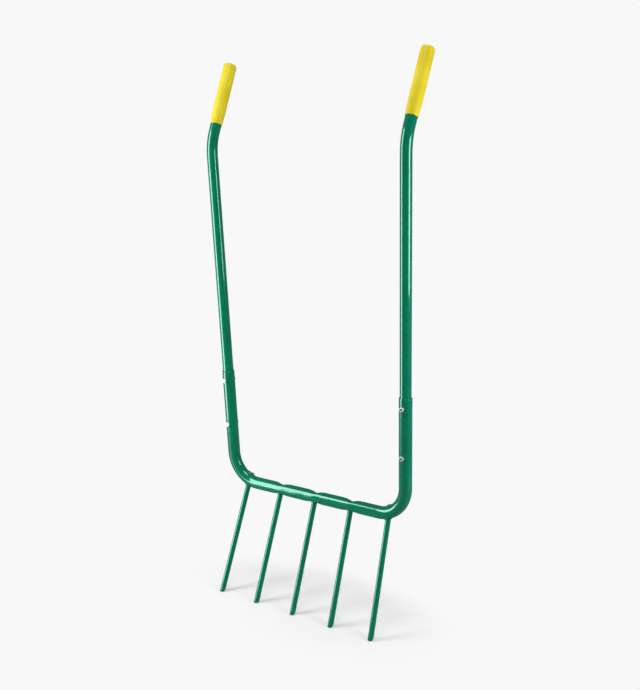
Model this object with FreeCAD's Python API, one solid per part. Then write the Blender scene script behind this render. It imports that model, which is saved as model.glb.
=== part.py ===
import FreeCAD, Part
import math
import os

# A broadfork: a bent tube frame with five welded tines, and two handle tubes
# that slide into the frame's legs and are bolted there.
# Millimetres and degrees. +X is the right side seen from the front, +Z is up,
# -Y is the front, where the tines lean to, and the user stands at +Y.

# Handle tubes
handle_tube_od = 28.0
handle_tube_wall = 1.5
handle_rise = 593.0            # from the leg's open end to the corner point of the handle's bend
handle_bend_angle = 25.8       # how far the grips lean back
handle_bend_radius = 145.0     # of the tube's centreline
bare_run = 18.0                # straight tube between the bend and the grip

# Bent tube frame: two legs and the crossbar
socket_clearance = 0.25        # per side, between handle tube and leg
frame_tube_wall = 1.75
leg_splay_angle = 1.2          # how far each leg leans outwards
corner_radius = 78.0           # of the tube's centreline
corner_overlap = 0.2           # straight tube that belongs to a corner, so that the runs join
foot_gap = 54.0                # from the corner's end to the handle tube's lower end
socket_depth = 172.0           # how deep the handle tube sits in the leg
outer_margin = 47.0            # from the outer tine to the leg's centreline, at the crossbar

# Tines: round bar with a chisel end that is ground on the user's side
tine_names = ["left_outer_tine", "left_inner_tine", "middle_tine", "right_inner_tine", "right_outer_tine"]
tine_diameter = 14.0
tine_spacing = 111.0           # along the crossbar
tine_length = 302.5            # from the crossbar's axis to the tip
tine_lean_angle = 22.8         # forwards from the legs' plane
tine_fan_angle = 1.4           # outwards, for each place from the middle
tine_clearance = 0.15          # per side, in its hole
chisel_length = 20.0
chisel_land = 2.0              # thickness left at the very tip
tine_end_gap = 0.3             # from an inner tine's end to the wall over it
outer_tine_proud = 2.0         # how far an outer tine stands out over the corner

# The crossbar is squeezed onto the three inner tines
crimp_half_length = 36.0
crimp_top_depth = 6.0
crimp_bottom_depth = 5.0
crimp_bulge = 1.5              # how much each side moves outwards
crimp_valley = 1.3             # 1 for a sharp valley, 2 for a round one
crimp_shoulder = 2.0           # over 1, the dent runs smoothly out into the round tube
crimp_sections = 6             # outlines on each side of the deepest one

# Weld beads around the tines
bead_radius = 3.4
bead_sink = 0.5                # how far the bead's ring lies under the skin's crest

# Grips: soft sleeves with a closed end
grip_length = 167.5
grip_od = 33.0
grip_lip_od = 30.6
grip_taper = 45.0              # length over which the lip widens to the full size
grip_clearance = 0.15          # per side, on the handle tube
grip_lip_round = 0.7
grip_end_wall = 5.0
grip_end_round = 5.0
grip_end_crown = 2.5

# Bolts through both tubes, heads at the back and nuts at the front
bolt_diameter = 6.0
bolt_length = 35.0             # under the head
bolt_hole_clearance = 0.25     # per side
thread_clearance = 0.05        # per side, in the nut
hexagon_flats = 10.0
bolt_head_height = 4.0
nut_height = 5.0
nut_turn_angle = 17.0          # each nut is turned this much further than the one before
hexagon_face = 0.95            # diameter of the flat face inside the chamfer, over the flats
hexagon_chamfer_angle = 30.0
bolt_end_chamfer = 0.6
seat_gap = 0.05
upper_bolt_margin = 24.5       # from the leg's open end
lower_bolt_margin = 26.5       # from the handle tube's lower end

# Sizes that follow from those above
frame_tube_od = handle_tube_od + 2 * socket_clearance + 2 * frame_tube_wall
frame_radius = frame_tube_od / 2
tine_radius = tine_diameter / 2
middle_place = (len(tine_names) - 1) / 2
half_spacing = middle_place * tine_spacing + outer_margin
corner_turn = 90.0 - leg_splay_angle
corner_tangent = corner_radius * math.tan(math.radians(corner_turn) / 2)
handle_tangent = handle_bend_radius * math.tan(math.radians(handle_bend_angle) / 2)
straight_half = half_spacing - corner_tangent
handle_foot = corner_tangent + foot_gap
leg_length = handle_foot + socket_depth
handle_corner = leg_length + handle_rise
grip_start = handle_tangent + bare_run
bolt_heights = [leg_length - upper_bolt_margin, handle_foot + lower_bolt_margin]

origin = FreeCAD.Vector(0, 0, 0)
x_axis = FreeCAD.Vector(1, 0, 0)
y_axis = FreeCAD.Vector(0, 1, 0)
z_axis = FreeCAD.Vector(0, 0, 1)
sides = {"left": -1, "right": 1}


def turned(direction, axis, degrees):
    """The direction after a turn about an axis."""
    return FreeCAD.Rotation(axis, degrees).multVec(direction)


def leg_direction(side):
    """Unit vector up a leg, which leans outwards."""
    return turned(z_axis, y_axis, side * leg_splay_angle)


def leg_point(side, height):
    """A point on a leg's centreline, measured along it from the crossbar's axis."""
    return x_axis * (side * half_spacing) + leg_direction(side) * height


def grip_direction(side):
    """Unit vector along a grip: the leg's direction leaned back towards the user."""
    lean = math.radians(handle_bend_angle)
    return leg_direction(side) * math.cos(lean) + y_axis * math.sin(lean)


def tine_direction(place):
    """Unit vector down a tine, at a place counted outwards from the middle."""
    down = turned(z_axis * -1, x_axis, -tine_lean_angle)
    sideways_axis = turned(y_axis, x_axis, -tine_lean_angle)
    return turned(down, sideways_axis, -place * tine_fan_angle)


def bent_rod(start, corner, end, bend_radius, radius):
    """A solid rod along two straight runs joined by one arc."""
    first = (start - corner).normalize()
    second = (end - corner).normalize()
    turn = math.pi - first.getAngle(second)
    tangent = bend_radius * math.tan(turn / 2)
    arc_start = corner + first * tangent
    arc_end = corner + second * tangent
    bisector = (first + second).normalize()
    centre = corner + bisector * (bend_radius / math.cos(turn / 2))
    arc_middle = centre - bisector * bend_radius
    path = Part.Wire([
        Part.makeLine(start, arc_start),
        Part.Arc(arc_start, arc_middle, arc_end).toShape(),
        Part.makeLine(arc_end, end),
    ])
    profile = Part.Wire(Part.makeCircle(radius, start, first * -1))
    return path.makePipeShell([profile], True, False)


def frame_side(side, radius):
    """One leg with its corner, as a solid rod up to the straight part of the crossbar."""
    bar_end = x_axis * (side * (straight_half - corner_overlap))
    return bent_rod(leg_point(side, leg_length), leg_point(side, 0), bar_end, corner_radius, radius)


def squeeze_section(x, fullness, inset):
    """Outline of the squeezed crossbar at x: two half ellipses, or a circle where fullness is 0."""
    up = tine_direction(0) * -1
    back = up.cross(x_axis)
    centre = x_axis * x
    half_width = frame_radius + crimp_bulge * fullness - inset
    heights = [frame_radius - crimp_top_depth * fullness - inset,
               frame_radius - crimp_bottom_depth * fullness - inset]
    halves = []
    for sign, height in zip((1, -1), heights):
        wide = back * (sign * half_width)
        high = up * (sign * height)
        if fullness == 0:
            halves.append(Part.Arc(centre + wide, centre + high, centre - wide).toShape())
        else:
            ellipse = Part.Ellipse(centre + wide, centre + high, centre)
            halves.append(Part.ArcOfEllipse(ellipse, 0, math.pi).toShape())
    return Part.Wire(halves)


def crimped_rod(x, inset):
    """The squeezed stretch of the crossbar around one inner tine, less an inset all round."""
    sections = []
    for index in range(-crimp_sections, crimp_sections + 1):
        step = index / crimp_sections
        fullness = (1 - abs(step) ** crimp_valley) ** crimp_shoulder
        sections.append(squeeze_section(x + step * crimp_half_length, fullness, inset))
    return Part.makeLoft(sections, True, False)


def crossbar_rod(inset):
    """The straight part of the crossbar, plain runs and squeezed stretches in turn."""
    inner_feet = [place * tine_spacing for place in tine_places() if not is_outer(place)]
    pieces = []
    reached = -straight_half
    for x in inner_feet:
        pieces.append(plain_run(reached, x - crimp_half_length, inset))
        pieces.append(crimped_rod(x, inset))
        reached = x + crimp_half_length
    pieces.append(plain_run(reached, straight_half, inset))
    return pieces[0].multiFuse(pieces[1:])


def plain_run(x_from, x_to, inset):
    """A round stretch of the crossbar."""
    return Part.makeCylinder(frame_radius - inset, x_to - x_from, x_axis * x_from, x_axis)


def tine_places():
    """The tines' places, counted from the middle one."""
    return [index - middle_place for index in range(len(tine_names))]


def frame_solid(inset):
    """The whole frame as a solid rod, less an inset all round."""
    rods = [frame_side(side, frame_radius - inset) for side in sides.values()]
    return crossbar_rod(inset).multiFuse(rods)


def is_outer(place):
    """Whether a tine stands in a corner of the frame, and goes right through it."""
    return abs(place) == middle_place


def corner_tube(place):
    """Centre and direction of the frame's tube, in the corner, over an outer tine's foot."""
    foot = place * tine_spacing
    slope = math.asin(max(abs(foot) - straight_half, 0) / corner_radius)
    centre = FreeCAD.Vector(foot, 0, corner_radius * (1 - math.cos(slope)))
    return centre, FreeCAD.Vector(math.copysign(math.cos(slope), foot), 0, math.sin(slope))


def skin_crossing(place, at_top):
    """Distance down a tine's axis, from its foot, to where it crosses the frame's outer skin."""
    if not is_outer(place):
        return frame_radius - crimp_bottom_depth
    centre, along = corner_tube(place)
    offset = x_axis * (place * tine_spacing) - centre
    down = tine_direction(place)
    across = 1 - down.dot(along) ** 2
    middle = offset.dot(down) - offset.dot(along) * down.dot(along)
    rest = offset.Length ** 2 - offset.dot(along) ** 2 - frame_radius ** 2
    root = math.sqrt(middle ** 2 - across * rest)
    return (-middle - root) / across if at_top else (-middle + root) / across


def tine_top(place):
    """Height of a tine's upper end along its axis, over the crossbar's axis."""
    if is_outer(place):
        return outer_tine_proud - skin_crossing(place, True)
    ceiling = frame_radius - crimp_top_depth - frame_tube_wall
    half_width = frame_radius + crimp_bulge - frame_tube_wall
    return ceiling * math.sqrt(1 - (tine_radius / half_width) ** 2) - tine_end_gap


def tine_rod(place, radius):
    """A plain rod on a tine's axis, from its upper end to its tip."""
    down = tine_direction(place)
    foot = x_axis * (place * tine_spacing)
    top = tine_top(place)
    return Part.makeCylinder(radius, tine_length + top, foot - down * top, down)


def tine(place):
    """A tine: a round bar with one flat ground on its rear side, down to the tip."""
    down = tine_direction(place)
    rear = (y_axis - down * y_axis.dot(down)).normalize()
    sideways = down.cross(rear)
    tip = x_axis * (place * tine_spacing) + down * tine_length
    heel = tip - down * chisel_length + rear * tine_radius
    edge = tip - rear * (tine_radius - chisel_land)
    slope = edge - heel
    beyond = rear * (3 * tine_diameter)
    corners = [heel - slope, edge + slope, edge + slope + beyond, heel - slope + beyond]
    corners = [corner - sideways * tine_diameter for corner in corners]
    waste = Part.Face(Part.makePolygon(corners + corners[:1])).extrude(sideways * (2 * tine_diameter))
    return tine_rod(place, tine_radius).cut(waste)


def weld_bead(place, skin, at_top):
    """A fillet of weld metal round a tine, square to the frame's skin: a ring without what it meets."""
    seam = x_axis * (place * tine_spacing) + tine_direction(place) * skin_crossing(place, at_top)
    outwards = tine_direction(place)
    if is_outer(place):
        centre, along = corner_tube(place)
        offset = seam - centre
        outwards = (offset - along * offset.dot(along)).normalize()
    ring = Part.makeTorus(tine_radius, bead_radius, seam - outwards * bead_sink, outwards)
    return ring.cut(skin).cut(tine_rod(place, tine_radius))


def tine_welds(skin):
    """All weld beads: one under each tine, and one on top where a tine comes through."""
    beads = [weld_bead(place, skin, False) for place in tine_places()]
    beads += [weld_bead(place, skin, True) for place in tine_places() if is_outer(place)]
    return Part.makeCompound(beads)


def bolt_hole(side, height):
    """The drill through both tubes at one bolt, from front to back."""
    radius = bolt_diameter / 2 + bolt_hole_clearance
    start = leg_point(side, height) - y_axis * frame_tube_od
    return Part.makeCylinder(radius, 2 * frame_tube_od, start, y_axis)


def drilled(solid, side):
    """The solid with the bolt holes of one side."""
    for height in bolt_heights:
        solid = solid.cut(bolt_hole(side, height))
    return solid


def u_frame(skin):
    """The bent tube, open at the legs' ends, with holes for bolts and tines."""
    frame = skin.cut(frame_solid(frame_tube_wall))
    for side in sides.values():
        frame = drilled(frame, side)
    for place in tine_places():
        frame = frame.cut(tine_rod(place, tine_radius + tine_clearance))
    return frame


def handle_tube(side):
    """A handle tube, bent back near its top, with its bolt holes."""
    corner = leg_point(side, handle_corner)
    end = corner + grip_direction(side) * (grip_start + grip_length - grip_end_wall)
    foot = leg_point(side, handle_foot)
    radius = handle_tube_od / 2
    outside = bent_rod(foot, corner, end, handle_bend_radius, radius)
    bore = bent_rod(foot, corner, end, handle_bend_radius, radius - handle_tube_wall)
    return drilled(outside.cut(bore), side)


def at(across, along):
    """A point of an outline that is turned about the Z axis."""
    return FreeCAD.Vector(across, 0, along)


def grip(side):
    """A grip: a sleeve that widens from its thin lip and closes with a low crown."""
    bore = handle_tube_od / 2 + grip_clearance
    bore_end = grip_length - grip_end_wall + grip_clearance
    lip = grip_lip_od / 2
    radius = grip_od / 2
    shoulder = grip_length - grip_end_crown
    diagonal = math.sqrt(0.5)
    lip_middle = at(lip - grip_lip_round * (1 - diagonal), grip_lip_round * (1 - diagonal))
    end_middle = at(radius - grip_end_round * (1 - diagonal), shoulder - grip_end_round * (1 - diagonal))
    crown_edge = radius - grip_end_round
    crown_radius = (crown_edge ** 2 + grip_end_crown ** 2) / (2 * grip_end_crown)
    crown_middle = grip_length - crown_radius + math.sqrt(crown_radius ** 2 - (crown_edge / 2) ** 2)
    outline = [
        Part.makeLine(at(bore, 0), at(lip - grip_lip_round, 0)),
        Part.Arc(at(lip - grip_lip_round, 0), lip_middle, at(lip, grip_lip_round)).toShape(),
        Part.makeLine(at(lip, grip_lip_round), at(radius, grip_taper)),
        Part.makeLine(at(radius, grip_taper), at(radius, shoulder - grip_end_round)),
        Part.Arc(at(radius, shoulder - grip_end_round), end_middle, at(crown_edge, shoulder)).toShape(),
        Part.Arc(at(crown_edge, shoulder), at(crown_edge / 2, crown_middle), at(0, grip_length)).toShape(),
        Part.makeLine(at(0, grip_length), at(0, bore_end)),
        Part.makeLine(at(0, bore_end), at(bore, bore_end)),
        Part.makeLine(at(bore, bore_end), at(bore, 0)),
    ]
    sleeve = Part.Face(Part.Wire(outline)).revolve(origin, z_axis, 360)
    start = leg_point(side, handle_corner) + grip_direction(side) * grip_start
    return placed(sleeve, start, grip_direction(side))


def placed(shape, start, direction):
    """A shape built up the Z axis, moved to a start point and turned to a direction."""
    moved = shape.copy()
    moved.Placement = FreeCAD.Placement(start, FreeCAD.Rotation(z_axis, direction))
    return moved


def hexagon(height, chamfered_ends):
    """A hexagonal prism up the Z axis, with its corners chamfered at the far end or at both."""
    corner = hexagon_flats / 2 / math.cos(math.pi / 6)
    points = [turned(x_axis * corner, z_axis, 60 * index) for index in range(7)]
    prism = Part.Face(Part.makePolygon(points)).extrude(z_axis * height)
    face = hexagon_face * hexagon_flats / 2
    flare = face + height / math.tan(math.radians(hexagon_chamfer_angle))
    cones = [Part.makeCone(flare, face, height), Part.makeCone(face, flare, height)]
    for cone in cones[:chamfered_ends]:
        prism = prism.common(cone)
    return prism


def bolt(side, height):
    """A hexagon bolt, its head at the back of the leg and its end inside the nut."""
    radius = bolt_diameter / 2
    shank = Part.makeCylinder(radius, bolt_length - bolt_end_chamfer, z_axis * bolt_end_chamfer)
    point = Part.makeCone(radius - bolt_end_chamfer, radius, bolt_end_chamfer)
    head = hexagon(bolt_head_height, 1).translated(z_axis * bolt_length)
    whole = point.multiFuse([shank, head])
    back = frame_radius + seat_gap
    return placed(whole, leg_point(side, height) + y_axis * (back - bolt_length), y_axis)


def nut(side, height, turn):
    """A hexagon nut on the front of the leg."""
    bore = bolt_diameter / 2 + thread_clearance
    body = hexagon(nut_height, 2).cut(Part.makeCylinder(bore, nut_height))
    body.rotate(origin, z_axis, turn)
    return placed(body, leg_point(side, height) - y_axis * (frame_radius + seat_gap), y_axis * -1)


def fasteners():
    """Four bolts and four nuts, two of each on a leg."""
    seats = [(side, height) for side in sides.values() for height in bolt_heights]
    bolts = [bolt(side, height) for side, height in seats]
    nuts = [nut(side, height, index * nut_turn_angle) for index, (side, height) in enumerate(seats)]
    return Part.makeCompound(bolts), Part.makeCompound(nuts)


def build():
    """All pieces by name, with the crossbar's middle at the origin."""
    skin = frame_solid(0)
    pieces = {"u_frame": u_frame(skin)}
    for name, side in sides.items():
        pieces[name + "_handle_tube"] = handle_tube(side)
        pieces[name + "_grip"] = grip(side)
    for name, place in zip(tine_names, tine_places()):
        pieces[name] = tine(place)
    pieces["tine_welds"] = tine_welds(skin)
    pieces["handle_bolts"], pieces["handle_nuts"] = fasteners()
    return pieces


def stood_on_tips(pieces):
    """The pieces moved so that the origin is under the middle of the whole, level with the tips."""
    box = Part.makeCompound(list(pieces.values())).optimalBoundingBox(False)
    shift = FreeCAD.Vector(-box.Center.x, -box.Center.y, -box.ZMin)
    return {name: shape.translated(shift) for name, shape in pieces.items()}


os.makedirs("parts", exist_ok=True)
for name, shape in stood_on_tips(build()).items():
    shape.exportStep("parts/" + name + ".step")
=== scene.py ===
import math

import bpy
import numpy as np
from mathutils import Matrix, Vector


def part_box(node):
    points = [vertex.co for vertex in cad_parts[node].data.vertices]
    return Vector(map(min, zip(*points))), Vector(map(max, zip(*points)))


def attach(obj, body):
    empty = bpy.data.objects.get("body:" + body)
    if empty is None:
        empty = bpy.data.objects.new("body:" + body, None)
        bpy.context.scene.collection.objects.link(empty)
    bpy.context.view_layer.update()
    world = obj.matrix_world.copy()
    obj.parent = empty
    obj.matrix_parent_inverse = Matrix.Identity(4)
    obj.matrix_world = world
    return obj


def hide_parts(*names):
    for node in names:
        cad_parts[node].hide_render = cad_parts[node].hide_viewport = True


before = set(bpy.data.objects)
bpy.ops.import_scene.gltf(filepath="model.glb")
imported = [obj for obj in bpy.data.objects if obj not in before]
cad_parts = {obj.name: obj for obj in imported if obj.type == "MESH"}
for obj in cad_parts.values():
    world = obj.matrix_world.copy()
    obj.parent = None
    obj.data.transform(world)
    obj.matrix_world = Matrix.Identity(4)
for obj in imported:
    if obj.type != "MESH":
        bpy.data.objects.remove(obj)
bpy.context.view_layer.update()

# The photograph's view: from the right of the front and a little above, with the tool
# standing on the tips of its tines. One picture is 640 by 690 pixels.
picture_width = 640
focal_length_in_pixels = 961.8
view_turn = math.radians(36.571)
view_drop = math.radians(12.669)
view_roll = math.radians(-2.089)
view_distance = 2.3642
view_aim = Vector((0.03261, 0.0075, 0.68085))

level_right = Vector((math.cos(view_turn), math.sin(view_turn), 0))
forward = Vector((-math.sin(view_turn) * math.cos(view_drop), math.cos(view_turn) * math.cos(view_drop),
                  -math.sin(view_drop)))
level_up = level_right.cross(forward)
right = level_right * math.cos(view_roll) + level_up * math.sin(view_roll)
up = level_up * math.cos(view_roll) - level_right * math.sin(view_roll)

camera = bpy.data.objects.new("camera", bpy.data.cameras.new("camera"))
bpy.context.scene.collection.objects.link(camera)
camera.data.sensor_fit = "HORIZONTAL"
camera.data.lens = camera.data.sensor_width * focal_length_in_pixels / picture_width
camera.data.clip_end = 50
turned = Matrix((right, up, -forward)).transposed().to_4x4()
camera.matrix_world = Matrix.Translation(view_aim - forward * view_distance) @ turned
bpy.context.scene.camera = camera
bpy.context.scene.view_settings.view_transform = "Standard"


# The studio: a pale floor that runs out into a background of the same colour. Near the tool
# the floor takes shadows; far off, and for the world, the background colour is simply shown.
background_grey = 248
ground_grey = 247
floor_radius = 9.0
shadow_share = 0.8
shadow_reach = 0.26
shadow_fade = 0.45
shadow_squeeze = 2.0
shadow_line = -0.04
mirrored_glow = 0.06
mirrored_share = 0.9
sky_mirrored_glow = 0.08
sky_scattered_glow = 0.25


def linear(red, green, blue):
    """A colour as a screen shows it, 0 to 255, as the light it stands for, with an alpha of 1."""
    share = np.array([red, green, blue]) / 255
    low = share / 12.92
    high = ((share + 0.055) / 1.055) ** 2.4
    return (*np.where(share <= 0.04045, low, high).tolist(), 1.0)


class Shade:
    """A socket of a material. Arithmetic on it adds Math nodes; node() adds any other node beside it."""

    def __init__(self, tree, socket=None):
        self.tree = tree
        self.socket = socket

    def node(self, kind, settings, inputs, output=0):
        """Adds a node with its settings, then a value or a link for each input, and gives one output."""
        made = self.tree.nodes.new(kind)
        for name, value in settings.items():
            setattr(made, name, value)
        for name, value in inputs.items():
            if isinstance(value, Shade):
                self.tree.links.new(value.socket, made.inputs[name])
            else:
                made.inputs[name].default_value = value
        return Shade(self.tree, made.outputs[output]) if made.outputs else made

    def math(self, operation, first, second):
        return self.node("ShaderNodeMath", {"operation": operation}, {0: first, 1: second})

    def __add__(self, other):
        return self.math("ADD", self, other)

    def __sub__(self, other):
        return self.math("SUBTRACT", self, other)

    def __rsub__(self, other):
        return self.math("SUBTRACT", other, self)

    def __mul__(self, other):
        return self.math("MULTIPLY", self, other)

    __radd__ = __add__
    __rmul__ = __mul__

    def held(self, low, high):
        """The value mapped from low..high to 0..1, smoothly and without going past either."""
        settings = {"interpolation_type": "SMOOTHSTEP"}
        return self.node("ShaderNodeMapRange", settings, {0: self, 1: low, 2: high})

    def mixed(self, first, second):
        """A colour between two others, at this value from 0 to 1."""
        return self.node("ShaderNodeMix", {"data_type": "RGBA"}, {0: self, 6: first, 7: second}, 2)


def new_material(name):
    """An empty material, and a Shade to build its nodes from."""
    material = bpy.data.materials.new(name)
    material.use_nodes = True
    material.node_tree.nodes.clear()
    return material, Shade(material.node_tree)


def floor_material():
    """Diffuse white paper. Within an oval round the tool's feet the camera sees its shadows, faded with the
    background's colour, and beyond it that colour alone. Gloss sees a dimmer share of the same colour."""
    material, shade = new_material("studio_floor")
    place = shade.node("ShaderNodeTexCoord", {}, {}, "Object")
    oval = shade.node("ShaderNodeVectorMath", {"operation": "MULTIPLY_ADD"}, {
        0: place,
        1: (1, shadow_squeeze, 1),
        2: (0, -shadow_squeeze * shadow_line, 0),
    })
    distance = shade.node("ShaderNodeVectorMath", {"operation": "LENGTH"}, {0: oval}, "Value")
    seen = shade.node("ShaderNodeLightPath", {}, {}, "Is Camera Ray")
    mirrored = shade.node("ShaderNodeLightPath", {}, {}, "Is Glossy Ray")
    ground = shade.node("ShaderNodeBsdfDiffuse", {}, {
        "Color": linear(ground_grey, ground_grey, ground_grey),
    })
    glow = shade.node("ShaderNodeEmission", {}, {
        "Color": linear(background_grey, background_grey, background_grey),
        "Strength": seen + mirrored_glow * mirrored,
    })
    near = 1 - distance.held(shadow_reach, shadow_fade)
    share = seen * (1 - shadow_share * near) + mirrored_share * mirrored
    surface = shade.node("ShaderNodeMixShader", {}, {0: share, 1: ground, 2: glow})
    shade.node("ShaderNodeOutputMaterial", {}, {"Surface": surface})
    return material


def sheet_of_points(name, points, closed_rows=False, closed_columns=False, first_tip=None, last_tip=None):
    """A mesh over a grid of points, rows by columns: four neighbours make a face. Closed grids join their
    last line to their first, and a tip closes the first or the last row with a fan. Faces are turned so
    that the volume inside them, a sum over the faces of their corners' triple products, is positive."""
    rows, columns = points.shape[:2]
    index = np.arange(rows * columns).reshape(rows, columns)
    below = np.roll(index, -1, 0) if closed_rows else index[1:]
    here = index if closed_rows else index[:-1]
    if not closed_columns:
        here, below = here[:, :-1], below[:, :-1]
    step = (lambda block: np.roll(block, -1, 1)) if closed_columns else (lambda block: block + 1)
    quads = np.stack([here, step(here), step(below), below], -1).reshape(-1, 4)
    vertices = points.reshape(-1, 3)
    fans = []
    for tip, row, flip in ((first_tip, index[0], True), (last_tip, index[-1], False)):
        if tip is not None:
            vertices = np.vstack([vertices, tip])
            corner = np.full(columns, len(vertices) - 1)
            fan = np.stack([corner, row, np.roll(row, -1)], -1)
            fans.append(fan[:, ::-1] if flip else fan)
    triangles = np.vstack([quads[:, [0, 1, 2]], quads[:, [0, 2, 3]], *fans])
    a, b, c = (vertices[triangles[:, k]] for k in range(3))
    inside_out = np.einsum("ij,ij->i", a, np.cross(b, c)).sum() < 0
    faces = quads.tolist() + [face for fan in fans for face in fan.tolist()]
    if inside_out:
        faces = [face[::-1] for face in faces]
    mesh = bpy.data.meshes.new(name)
    mesh.from_pydata(vertices.tolist(), [], faces)
    mesh.shade_smooth()
    piece = bpy.data.objects.new(name, mesh)
    bpy.context.scene.collection.objects.link(piece)
    return piece


floor_rings = 40
floor_spokes = 96
ring_radii = np.linspace(0.05, 1, floor_rings) ** 2 * floor_radius
around = np.linspace(0, 2 * math.pi, floor_spokes, endpoint=False)
disc = np.stack([np.outer(ring_radii, np.cos(around)), np.outer(ring_radii, np.sin(around)),
                 np.zeros((floor_rings, floor_spokes))], -1)
floor = sheet_of_points("studio_floor", disc, closed_columns=True, first_tip=np.zeros(3))
floor.data.materials.append(floor_material())

world = bpy.data.worlds.new("studio")
world.use_nodes = True
world.node_tree.nodes.clear()
sky = Shade(world.node_tree)
sky_seen = sky.node("ShaderNodeLightPath", {}, {}, "Is Camera Ray")
sky_mirrored = sky.node("ShaderNodeLightPath", {}, {}, "Is Glossy Ray")
sky_scattered = sky.node("ShaderNodeLightPath", {}, {}, "Is Diffuse Ray")
sky_light = sky.node("ShaderNodeBackground", {}, {
    "Color": linear(background_grey, background_grey, background_grey),
    "Strength": sky_seen + sky_mirrored_glow * sky_mirrored + sky_scattered_glow * sky_scattered,
})
sky.node("ShaderNodeOutputWorld", {}, {"Surface": sky_light})
bpy.context.scene.world = world


def softbox(name, heading, climb, distance, aim_height, width, height, radiance):
    """A lamp panel that faces a point on the tool's axis. Its heading is counted from the front towards the
    right, and its climb from level; its power is the radiance times pi times its area."""
    turn, lift = math.radians(heading), math.radians(climb)
    outwards = Vector((math.sin(turn) * math.cos(lift), -math.cos(turn) * math.cos(lift), math.sin(lift)))
    sideways = Vector((math.cos(turn), math.sin(turn), 0))
    data = bpy.data.lights.new(name, "AREA")
    data.shape = "RECTANGLE"
    data.size = width
    data.size_y = height
    data.energy = radiance * math.pi * width * height
    lamp = bpy.data.objects.new(name, data)
    bpy.context.scene.collection.objects.link(lamp)
    facing = Matrix((sideways, outwards.cross(sideways), outwards)).transposed().to_4x4()
    lamp.matrix_world = Matrix.Translation(outwards * distance + Vector((0, 0, aim_height))) @ facing
    lamp.visible_camera = False
    return lamp


# A tall panel on the left and a smaller one on the right draw the long glints on the tubes, the
# skirt carries the left one's on to the floor, and the overhead panel lights the bar. Two fills
# light the sides that these miss, and leave no glint.
softbox("left_softbox", heading=-50, climb=0, distance=1.25, aim_height=1.08, width=0.53, height=1.9,
        radiance=6.8)
softbox("left_skirt", heading=-50, climb=0, distance=1.0, aim_height=0.115, width=0.42, height=0.21,
        radiance=1.1)
softbox("right_softbox", heading=94, climb=0, distance=1.0, aim_height=0.98, width=0.32, height=0.6,
        radiance=7.6)
softbox("overhead_softbox", heading=44, climb=75, distance=1.63, aim_height=1.1, width=1.0, height=1.0,
        radiance=4.5)
right_fill = softbox("right_fill", heading=105, climb=0, distance=1.2, aim_height=0.32, width=0.8,
                     height=0.6, radiance=3.0)
back_fill = softbox("back_fill", heading=200, climb=15, distance=1.7, aim_height=0.8, width=1.2,
                    height=1.6, radiance=0.8)
right_fill.visible_glossy = False
back_fill.visible_glossy = False


# The frame: one steel tube, bent round two corners into a wide U, with both ends open to take
# the handles. The crossbar is squeezed from above and below onto the three inner tines, which
# leaves a dent at each. All of it is sprayed with one glossy green coat after welding.
tube_radius = 0.016
tube_wall = 0.00175
handle_radius = 0.014
leg_splay = math.radians(1.2)
corner_radius = 0.078
tine_spacing = 0.111
outer_margin = 0.047
tine_lean = math.radians(22.8)
dent_half_length = 0.038
dent_top_depth = 0.006
dent_bottom_depth = 0.005
dent_bulge = 0.0005
dent_edge = 0.0024
dent_soft = 0.0012
dent_crown = 0.0013
dent_valley = 1.3
dent_shoulder = 2.0
corner_flattening = 0.012
rim_round = 0.0012
rim_inner_share = 0.4
frame_step = 0.0022
frame_facets = 72
coat_green = linear(0, 131, 97)
coat_deep_green = linear(0, 122, 91)
coat_gloss = linear(150, 252, 236)

corner_turn = math.pi / 2 - leg_splay
bar_half = 2 * tine_spacing + outer_margin - corner_radius * math.tan(corner_turn / 2)
frame_low, frame_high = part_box("u_frame")
handle_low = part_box("left_handle_tube")[0]
legs_plane = handle_low.y + handle_radius
bar_height = frame_low.z + tube_radius
leg_length = (frame_high.z - bar_height - tube_radius * math.sin(leg_splay)) / math.cos(leg_splay)
leg_straight = leg_length - corner_radius * math.tan(corner_turn / 2)
frame_half = bar_half + corner_radius * corner_turn + leg_straight
to_the_back = np.array([0.0, 1.0, 0.0])


def frame_line(reach):
    """Points on the tube's centreline and the way to the U's inside, at distances from the crossbar's
    middle. Each distance is split into its part along the bar, its turn round the corner and its part up
    the leg, and the three moves are added up. Negative distances go to the left."""
    side = np.where(reach < 0, -1.0, 1.0)
    run = np.abs(reach)
    along_bar = np.minimum(run, bar_half)
    turn = np.clip((run - bar_half) / corner_radius, 0, corner_turn)
    up_leg = np.maximum(run - bar_half - corner_radius * corner_turn, 0)
    across = along_bar + corner_radius * np.sin(turn) + up_leg * math.cos(corner_turn)
    climb = corner_radius * (1 - np.cos(turn)) + up_leg * math.sin(corner_turn)
    centre = np.stack([side * across, np.full_like(across, legs_plane), bar_height + climb], -1)
    inwards = np.stack([-side * np.sin(turn), np.zeros_like(turn), np.cos(turn)], -1)
    return centre, inwards


def frame_section(reach, inset):
    """Half width and half height of the tube's section, and how far above and below its middle the dents
    cut it: the depth times (1 - t ** valley) ** shoulder off the radius, where t goes from 0 at the tine
    to 1 at the dent's end. In a corner the tube is a little flatter, as bending leaves it."""
    fullness = np.zeros_like(reach)
    for place in (-1, 0, 1):
        t = np.minimum(np.abs(reach - place * tine_spacing) / dent_half_length, 1)
        fullness += (1 - t ** dent_valley) ** dent_shoulder
    turn = np.clip((np.abs(reach) - bar_half) / corner_radius, 0, corner_turn)
    flat = corner_flattening * np.sin(math.pi * turn / corner_turn)
    radius = tube_radius - inset
    half_width = radius + dent_bulge * fullness
    half_height = radius * (1 - flat)
    above = radius + dent_edge * (1 - fullness) - dent_top_depth * fullness
    below = radius + dent_edge * (1 - fullness) - dent_bottom_depth * fullness
    return half_width, half_height, above, below


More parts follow.
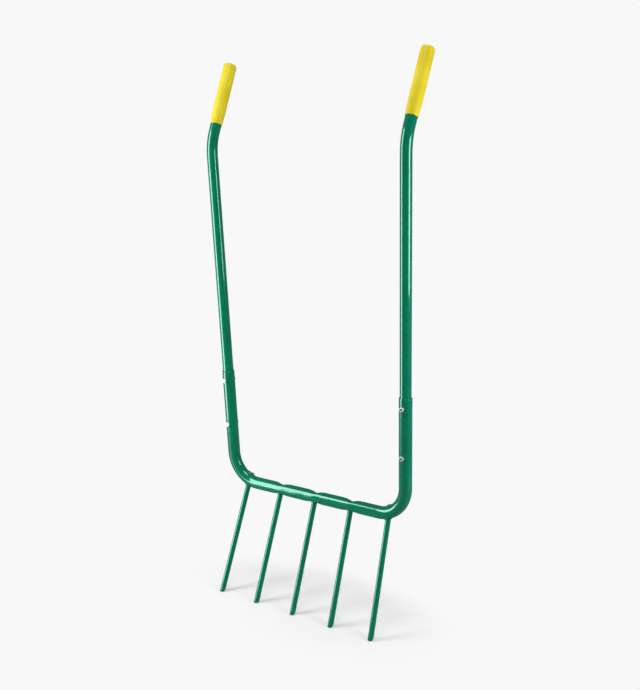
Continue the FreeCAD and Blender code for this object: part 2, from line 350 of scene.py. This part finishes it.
def cut_flat(height, above, below):
    """A height held between the two cuts. Each edge is soft: the smaller of two values is half their sum
    less half the root of their squared gap plus a small square."""
    gap = (height - above) ** 2 + dent_soft ** 2
    lowered = (height + above - np.sqrt(gap)) / 2
    gap = (lowered + below) ** 2 + dent_soft ** 2
    return (lowered - below + np.sqrt(gap)) / 2


def rim_loop(start, end, step, wall, rim):
    """Distances and insets that run along a tube's skin, round its end, back along its bore and round its
    start. Each end is a quarter circle of the rim's radius, the wall's flat end and a smaller quarter."""
    inner = rim * rim_inner_share
    angle = np.linspace(0, math.pi / 2, 6)
    skin = np.linspace(start + rim, end - rim, max(int((end - start) / step), 2))
    bore = np.linspace(end - inner, start + inner, max(int((end - start) / step / 2), 2))
    tip_along = np.concatenate([rim * (1 - np.sin(angle)), inner * (1 - np.cos(angle))])
    tip_inset = np.concatenate([rim * (1 - np.cos(angle)), wall - inner * (1 - np.sin(angle))])
    along = np.concatenate([skin[1:-1], end - tip_along, bore[1:-1], start + tip_along[::-1]])
    inset = np.concatenate([skin[1:-1] * 0, tip_inset, bore[1:-1] * 0 + wall, tip_inset[::-1]])
    return along, inset


def frame_tube():
    """The tube's skin and bore as one closed surface: each ring is an ellipse that leans with the tines,
    cut above and below where the tube is dented, so that the dents lie square to the tines. The cuts are
    not quite flat: they fall off to both sides by the crown times the squared sine of the angle round
    the tube."""
    reach, inset = rim_loop(-frame_half, frame_half, frame_step, tube_wall, rim_round)
    centre, inwards = frame_line(reach)
    half_width, half_height, above, below = frame_section(reach, inset)
    top = inwards * math.cos(tine_lean) + to_the_back * math.sin(tine_lean)
    back = to_the_back * math.cos(tine_lean) - inwards * math.sin(tine_lean)
    angle = np.linspace(0, 2 * math.pi, frame_facets, endpoint=False)
    crown = dent_crown * np.sin(angle) ** 2
    height = cut_flat(half_height[:, None] * np.cos(angle), above[:, None] - crown, below[:, None] - crown)
    width = half_width[:, None] * np.sin(angle)
    points = centre[:, None] + height[..., None] * top[:, None] + width[..., None] * back[:, None]
    return sheet_of_points("bent_frame_tube", points, closed_rows=True, closed_columns=True)


def green_coat():
    """Glossy green enamel with a faintly metallic body under a clear gloss. Slow clouds shift its tone, and
    two bumps shape its gloss: a fine orange peel and the long waves of a sprayed skin. A faint dust dulls
    it in places."""
    material, shade = new_material("green_coat")
    place = shade.node("ShaderNodeTexCoord", {}, {}, "Object")
    clouds = shade.node("ShaderNodeTexNoise", {}, {"Vector": place, "Scale": 14.0, "Detail": 3.0})
    peel = shade.node("ShaderNodeTexNoise", {}, {"Vector": place, "Scale": 620.0, "Detail": 2.0})
    waves = shade.node("ShaderNodeTexNoise", {}, {"Vector": place, "Scale": 70.0, "Detail": 1.0})
    dust = shade.node("ShaderNodeTexNoise", {}, {"Vector": place, "Scale": 260.0, "Detail": 5.0})
    tone = clouds.held(0.3, 0.7).mixed(coat_deep_green, coat_green)
    dusty = dust.held(0.62, 0.8)
    colour = (dusty * 0.08).mixed(tone, linear(120, 160, 145))
    long_waves = shade.node("ShaderNodeBump", {}, {"Strength": 0.2, "Distance": 0.00004, "Height": waves})
    skin = shade.node("ShaderNodeBump", {}, {"Strength": 0.12, "Distance": 0.00001, "Height": peel,
                                             "Normal": long_waves})
    surface = shade.node("ShaderNodeBsdfPrincipled", {}, {
        "Base Color": colour,
        "Metallic": 0.12,
        "Roughness": 0.13 + 0.05 * clouds + 0.03 * dusty,
        "Specular Tint": coat_gloss,
        "Coat Weight": 1.0,
        "Coat Roughness": 0.06,
        "Normal": skin,
    })
    shade.node("ShaderNodeOutputMaterial", {}, {"Surface": surface})
    return material


def fit(piece, material, slot, *nodes):
    """Gives a finished piece its material and its place in the tool."""
    piece.data.materials.append(material)
    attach(piece, "root")
    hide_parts(*nodes)


coat = green_coat()
fit(frame_tube(), coat, "green_paint", "u_frame")


# The handles: two thinner tubes that slide into the legs and bend back near the top, so that
# the grips lean towards the user. Same steel, same coat; the lower ends are hidden in the legs.
handle_wall = 0.0015
handle_foot_above_corner = 0.054
handle_rise = 0.593
handle_bend = math.radians(25.8)
bend_radius = 0.145
bend_flattening = 0.01
bare_run = 0.018
grip_length = 0.1675
grip_end_wall = 0.005
handle_rim_round = 0.0004
handle_step = 0.003
handle_facets = 64

handle_foot = corner_radius * math.tan(corner_turn / 2) + handle_foot_above_corner
bend_tangent = bend_radius * math.tan(handle_bend / 2)
handle_straight = leg_length + handle_rise - handle_foot - bend_tangent
handle_top_run = bare_run + grip_length - grip_end_wall
handle_length = handle_straight + bend_radius * handle_bend + handle_top_run


def handle_line(side, reach):
    """Points on a handle's centreline, the tube's own direction there and its square direction to the back.
    As on the frame, the reach is split into a straight part, a turn and a second straight part."""
    leg = np.array([side * math.sin(leg_splay), 0, math.cos(leg_splay)])
    foot = np.array([side * (2 * tine_spacing + outer_margin), legs_plane, bar_height]) + leg * handle_foot
    straight = np.minimum(reach, handle_straight)
    turn = np.clip((reach - handle_straight) / bend_radius, 0, handle_bend)
    beyond = np.maximum(reach - handle_straight - bend_radius * handle_bend, 0)
    up_leg = straight + bend_radius * np.sin(turn) + beyond * math.cos(handle_bend)
    back = bend_radius * (1 - np.cos(turn)) + beyond * math.sin(handle_bend)
    centre = foot + up_leg[:, None] * leg + back[:, None] * to_the_back
    along = np.cos(turn)[:, None] * leg + np.sin(turn)[:, None] * to_the_back
    square = np.cos(turn)[:, None] * to_the_back - np.sin(turn)[:, None] * leg
    return centre, along, square


def handle_tube(name, side):
    """A round tube along the handle's centreline, a little flatter in the bend, as one closed surface."""
    reach, inset = rim_loop(0, handle_length, handle_step, handle_wall, handle_rim_round)
    centre, along, square = handle_line(side, reach)
    turn = np.clip((reach - handle_straight) / bend_radius, 0, handle_bend)
    flat = bend_flattening * np.sin(math.pi * turn / handle_bend)
    sideways = np.cross(along, square)
    angle = np.linspace(0, 2 * math.pi, handle_facets, endpoint=False)
    deep = ((handle_radius - inset) * (1 - flat))[:, None] * np.cos(angle)
    wide = ((handle_radius - inset) * (1 + flat / 2))[:, None] * np.sin(angle)
    points = centre[:, None] + deep[..., None] * square[:, None] + wide[..., None] * sideways[:, None]
    return sheet_of_points(name, points, closed_rows=True, closed_columns=True)


sides = {"left": -1, "right": 1}
for name, side in sides.items():
    fit(handle_tube(name + "_handle", side), coat, "green_paint", name + "_handle_tube")


# The tines: five lengths of round bar that lean forwards and fan out a little. Each tip is
# ground on its rear side to a chisel end. The outer two go right through the frame's corners
# and stand out on top; the inner three end inside the crossbar.
tine_radius = 0.007
tine_fan = math.radians(1.4)
tine_length = 0.3025
chisel_length = 0.020
chisel_land = 0.002
chisel_swell = 1.5
grind_round = 0.0005
tip_round = 0.0042
tip_narrowing = 0.75
saw_chamfer = 0.0005
head_run = 0.003
chisel_run_in = 0.005
shank_gap = 0.001
grind_depth = 0.0003
tine_facets = 72
tine_names = ["left_outer", "left_inner", "middle", "right_inner", "right_outer"]


def tine_frame(place):
    """A tine's foot on the crossbar's axis, its direction down, and its rear and side directions."""
    straight_down = np.array([0, -math.sin(tine_lean), -math.cos(tine_lean)])
    down = straight_down * math.cos(place * tine_fan) + np.array([math.sin(place * tine_fan), 0, 0])
    rear = to_the_back - down * down[1]
    rear /= np.linalg.norm(rear)
    foot = np.array([place * tine_spacing, legs_plane, bar_height])
    return foot, down, rear, np.cross(down, rear)


def tine_top(place):
    """How far a tine reaches above the crossbar's axis, from its node's own box."""
    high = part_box(tine_names[place + 2] + "_tine")[1]
    foot, down, rear, sideways = tine_frame(place)
    return (high.z - bar_height - tine_radius * math.hypot(rear[2], sideways[2])) / -down[2]


def tine_bar(place):
    """A bar of round section. Near the tip the section's rear is cut by the ground face, with a soft edge:
    the smaller of two distances, blended by half their sum less half the root of their squared gap plus a
    little. At the very tip what is left narrows in a quarter circle, so that it is blunt."""
    foot, down, rear, sideways = tine_frame(place)
    top = tine_top(place)
    head = -top + saw_chamfer * np.array([0, 0.3, 0.7, 1])
    chisel_start = tine_length - chisel_length - chisel_run_in
    shank = np.linspace(-top + head_run, chisel_start - shank_gap, 60)
    chisel = np.linspace(chisel_start, tine_length - tip_round, 48)
    nose = tine_length - tip_round * (1 - np.sin(np.linspace(0, math.pi / 2, 14)))[1:]
    reach = np.concatenate([head, shank, chisel, nose])
    angle = np.linspace(0, 2 * math.pi, tine_facets, endpoint=False)
    sawn = np.clip(1 - (reach + top) / saw_chamfer, 0, 1) * saw_chamfer
    radius = tine_radius - sawn
    to_rear = radius[:, None] * np.cos(angle)
    to_side = radius[:, None] * np.sin(angle)
    ground = np.maximum(reach - tine_length + chisel_length, -chisel_length) / chisel_length
    depth = np.sign(ground) * np.abs(ground) ** chisel_swell * (2 * tine_radius - chisel_land)
    cut = (tine_radius - depth)[:, None]
    to_rear = (to_rear + cut - np.sqrt((to_rear - cut) ** 2 + grind_round ** 2)) / 2
    lift = 1 - np.sqrt(1 - np.clip(1 - (tine_length - reach) / tip_round, 0, 1) ** 2)
    edge = chisel_land - tine_radius - grind_depth
    to_rear = edge + (to_rear - edge) * (1 - tip_narrowing * lift[:, None])
    to_side = to_side * (1 - tip_narrowing * lift[:, None])
    points = foot + reach[:, None, None] * down + to_rear[..., None] * rear + to_side[..., None] * sideways
    return sheet_of_points(tine_names[place + 2] + "_bar", points, closed_columns=True,
                           first_tip=points[0].mean(0), last_tip=points[-1].mean(0))


for place in range(-2, 3):
    fit(tine_bar(place), coat, "green_paint", tine_names[place + 2] + "_tine")


# The welds: a fillet bead round every tine where it leaves the crossbar, and one more on top of
# each corner where an outer tine comes through. They are laid by hand in short overlapping
# pools, so each bead is rippled, and they are painted over with the rest.
bead_leg = 0.0028
top_bead_leg = 0.0018
bead_sink = 0.0006
bead_pool = 0.0024
bead_ripple = 0.09
bead_hollow = 1.25
ripple_level = 0.6
pool_bow = 0.9
crater_place = 2.2
crater_spread = 0.22
crater_height = 0.7
points_per_pool = 10
skin_steps = 40
skin_step_share = 0.8


def skin_distance(start, direction):
    """How far each point has to move along a direction to reach the frame's skin. Every step adds what the
    point still lacks of it: on the skin, the largest ratio to the ellipse and to the two cuts is 1."""
    reach = np.zeros(start.shape[:-1])
    for step in range(skin_steps):
        at = start + reach[..., None] * direction
        run = np.abs(at[..., 0])
        turn = np.arctan2(np.maximum(run - bar_half, 0), corner_radius - (at[..., 2] - bar_height))
        past_bar = np.sign(at[..., 0]) * (bar_half + corner_radius * turn)
        along = np.where(run < bar_half, at[..., 0], past_bar)
        centre, inwards = frame_line(along)
        half_width, half_height, above, below = frame_section(along, 0)
        top = inwards * math.cos(tine_lean) + to_the_back * math.sin(tine_lean)
        back = to_the_back * math.cos(tine_lean) - inwards * math.sin(tine_lean)
        height = ((at - centre) * top).sum(-1)
        width = ((at - centre) * back).sum(-1)
        ratio = np.maximum(np.hypot(height / half_height, width / half_width),
                           np.maximum(height / above, -height / below))
        reach = reach + (1 - ratio) * tube_radius * skin_step_share
    return reach


def weld_bead(place, upwards):
    """A closed ring round a tine. Its face is an arc from the bead's toe on the frame to its toe on the
    tine, scaled about the seam by 1 plus a ripple, the rectified sine of the angle round the tine, plus a
    bell curve where the last pool was left."""
    foot, down, rear, sideways = tine_frame(place)
    away, leg = (-down, top_bead_leg) if upwards else (down, bead_leg)
    pools = round(2 * math.pi * (tine_radius + leg / 2) / bead_pool)
    angle = np.linspace(0, 2 * math.pi, pools * points_per_pool, endpoint=False)
    spoke = np.cos(angle)[:, None] * rear + np.sin(angle)[:, None] * sideways
    seam = foot + spoke * tine_radius
    seam = seam + skin_distance(seam, away)[:, None] * away
    toe = foot + spoke * (tine_radius + leg)
    toe = toe + skin_distance(toe, away)[:, None] * away
    on_tine = seam + away * leg
    sweep = np.linspace(0, math.pi / 2, 12)
    bow = pool_bow * np.sin(2 * sweep)
    ripple = np.abs(np.sin((angle[:, None] * pools + bow + place) / 2)) - ripple_level
    crater = crater_height * np.exp(-((angle[:, None] - crater_place) / crater_spread) ** 2)
    size = 1 + bead_ripple * (ripple + crater) * np.sin(2 * sweep) ** 0.5
    to_toe = (toe - seam)[:, None] * (np.cos(sweep) ** bead_hollow * size)[..., None]
    to_tine = (on_tine - seam)[:, None] * (np.sin(sweep) ** bead_hollow * size)[..., None]
    face = seam[:, None] + to_toe + to_tine
    sunk_tine = on_tine - spoke * bead_sink
    sunk_toe = toe - away * bead_sink
    root = seam - spoke * bead_sink - away * bead_sink
    points = np.concatenate([sunk_toe[:, None], face, sunk_tine[:, None], root[:, None]], 1)
    kind = "_top_bead" if upwards else "_bead"
    return sheet_of_points(tine_names[place + 2] + kind, points, closed_rows=True, closed_columns=True)


beads = [weld_bead(place, False) for place in range(-2, 3)] + [weld_bead(place, True) for place in (-2, 2)]
for bead in beads:
    fit(bead, coat, "green_paint", "tine_welds")


# The grips: soft yellow vinyl sleeves with a closed end, dipped on a former and pushed over the
# handles. The lip is thin and rolled; the wall grows over the first part, and the end is a low
# dome with a round shoulder.
grip_bore = 0.01415
grip_lip = 0.0153
grip_radius = 0.0165
grip_taper = 0.045
grip_shoulder = 0.005
grip_crown = 0.0025
lip_roll = 0.0003
lip_roll_height = 0.001
lip_roll_spread = 0.0009
bore_clearance = 0.00015
bore_corner = 0.0002
middle_ring_share = 0.04
bore_rings = 12
grip_facets = 72
vinyl_yellow = linear(237, 218, 42)
vinyl_amber = linear(226, 204, 22)


def grip_sleeve(name, side):
    """A profile turned about the handle's axis: down from the bore's closed end, out round the lip, along
    the taper, which eases in like half a cosine wave, and over the shoulder and crown to the middle."""
    centre, along, square = handle_line(side, np.array([handle_length - handle_top_run + bare_run]))
    start, axis, deep = centre[0], along[0], square[0]
    wide = np.cross(axis, deep)
    quarter = np.linspace(0, math.pi / 2, 9)
    bore_end = grip_length - grip_end_wall + bore_clearance
    edge = (grip_lip - grip_bore) / 2
    body = np.linspace(edge, grip_length - grip_crown - grip_shoulder, 90)[1:]
    eased = (1 - np.cos(np.clip(body / grip_taper, 0, 1) * math.pi)) / 2
    roll = lip_roll * np.exp(-((body - lip_roll_height) / lip_roll_spread) ** 2)
    crown = np.linspace(1, middle_ring_share, 9)[1:]
    radius = np.concatenate([
        [grip_bore * 0.5, grip_bore - bore_corner, grip_bore],
        np.full(bore_rings, grip_bore),
        grip_bore + edge * (1 - np.cos(2 * quarter)),
        grip_lip + (grip_radius - grip_lip) * eased + roll,
        grip_radius - grip_shoulder * (1 - np.cos(quarter[1:])),
        (grip_radius - grip_shoulder) * crown,
    ])
    height = np.concatenate([
        [bore_end, bore_end, bore_end - bore_corner],
        np.linspace(bore_end - 10 * bore_corner, edge, bore_rings),
        edge - edge * np.sin(2 * quarter),
        body,
        grip_length - grip_crown - grip_shoulder * (1 - np.sin(quarter[1:])),
        grip_length - grip_crown * crown ** 2,
    ])
    angle = np.linspace(0, 2 * math.pi, grip_facets, endpoint=False)
    ring = np.cos(angle)[:, None] * deep + np.sin(angle)[:, None] * wide
    points = start + height[:, None, None] * axis + radius[:, None, None] * ring
    return sheet_of_points(name, points, closed_columns=True, first_tip=start + axis * bore_end,
                           last_tip=start + axis * grip_length)


def yellow_vinyl():
    """Soft vinyl: the yellow drifts a little towards amber, the skin has faint dipping waves and a fine
    grain, and handling leaves it unevenly glossy."""
    material, shade = new_material("yellow_vinyl")
    place = shade.node("ShaderNodeTexCoord", {}, {}, "Object")
    drift = shade.node("ShaderNodeTexNoise", {}, {"Vector": place, "Scale": 22.0, "Detail": 2.0})
    grain = shade.node("ShaderNodeTexNoise", {}, {"Vector": place, "Scale": 1500.0, "Detail": 2.0})
    waves = shade.node("ShaderNodeTexNoise", {}, {"Vector": place, "Scale": 55.0, "Detail": 1.0})
    colour = drift.held(0.3, 0.7).mixed(vinyl_amber, vinyl_yellow)
    long_waves = shade.node("ShaderNodeBump", {}, {"Strength": 0.3, "Distance": 0.0003, "Height": waves})
    skin = shade.node("ShaderNodeBump", {}, {"Strength": 0.06, "Distance": 0.00002, "Height": grain,
                                             "Normal": long_waves})
    surface = shade.node("ShaderNodeBsdfPrincipled", {}, {
        "Base Color": colour,
        "Roughness": 0.34 + 0.1 * drift,
        "Specular IOR Level": 0.35,
        "Coat Weight": 0.3,
        "Coat Roughness": 0.2,
        "Normal": skin,
    })
    shade.node("ShaderNodeOutputMaterial", {}, {"Surface": surface})
    return material


vinyl = yellow_vinyl()
for name, side in sides.items():
    fit(grip_sleeve(name + "_sleeve", side), vinyl, "yellow_grip", name + "_grip")


# The bolts and nuts: zinc plated M6, two through each leg, heads at the back and nuts at the front.
# Each bolt ends a little inside its nut. The bolts are coloured darker than the nuts as painted shade,
# so that each bolt end reads as a dark hollow in its nut; the heads at the back are darkened with them.
nut_bright = linear(250, 253, 251)
nut_dull = linear(226, 232, 231)
bolt_shade_bright = linear(172, 175, 174)
bolt_shade_dull = linear(128, 131, 132)


def zinc_plate(name, bright, dull):
    """Zinc plating: bright metal with cloudy spangle, and a faint brushed grain from tumbling."""
    material, shade = new_material(name)
    place = shade.node("ShaderNodeTexCoord", {}, {}, "Object")
    spangle = shade.node("ShaderNodeTexVoronoi", {}, {"Vector": place, "Scale": 900.0}, "Color")
    level = shade.node("ShaderNodeSeparateColor", {}, {"Color": spangle}, "Red")
    grain = shade.node("ShaderNodeTexNoise", {}, {"Vector": place, "Scale": 2600.0, "Detail": 3.0})
    colour = level.mixed(dull, bright)
    skin = shade.node("ShaderNodeBump", {}, {"Strength": 0.3, "Distance": 0.00002, "Height": grain})
    surface = shade.node("ShaderNodeBsdfPrincipled", {}, {
        "Base Color": colour,
        "Metallic": 0.6,
        "Roughness": 0.24 + 0.14 * grain,
        "Normal": skin,
    })
    shade.node("ShaderNodeOutputMaterial", {}, {"Surface": surface})
    return material


# The bolts' darker zinc is painted shade for the hollow at each nut's centre.
plating = {
    "handle_bolts": zinc_plate("shade_darkened_zinc", bolt_shade_bright, bolt_shade_dull),
    "handle_nuts": zinc_plate("bright_zinc", nut_bright, nut_dull),
}
for node, material in plating.items():
    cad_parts[node].data.materials.clear()
    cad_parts[node].data.materials.append(material)
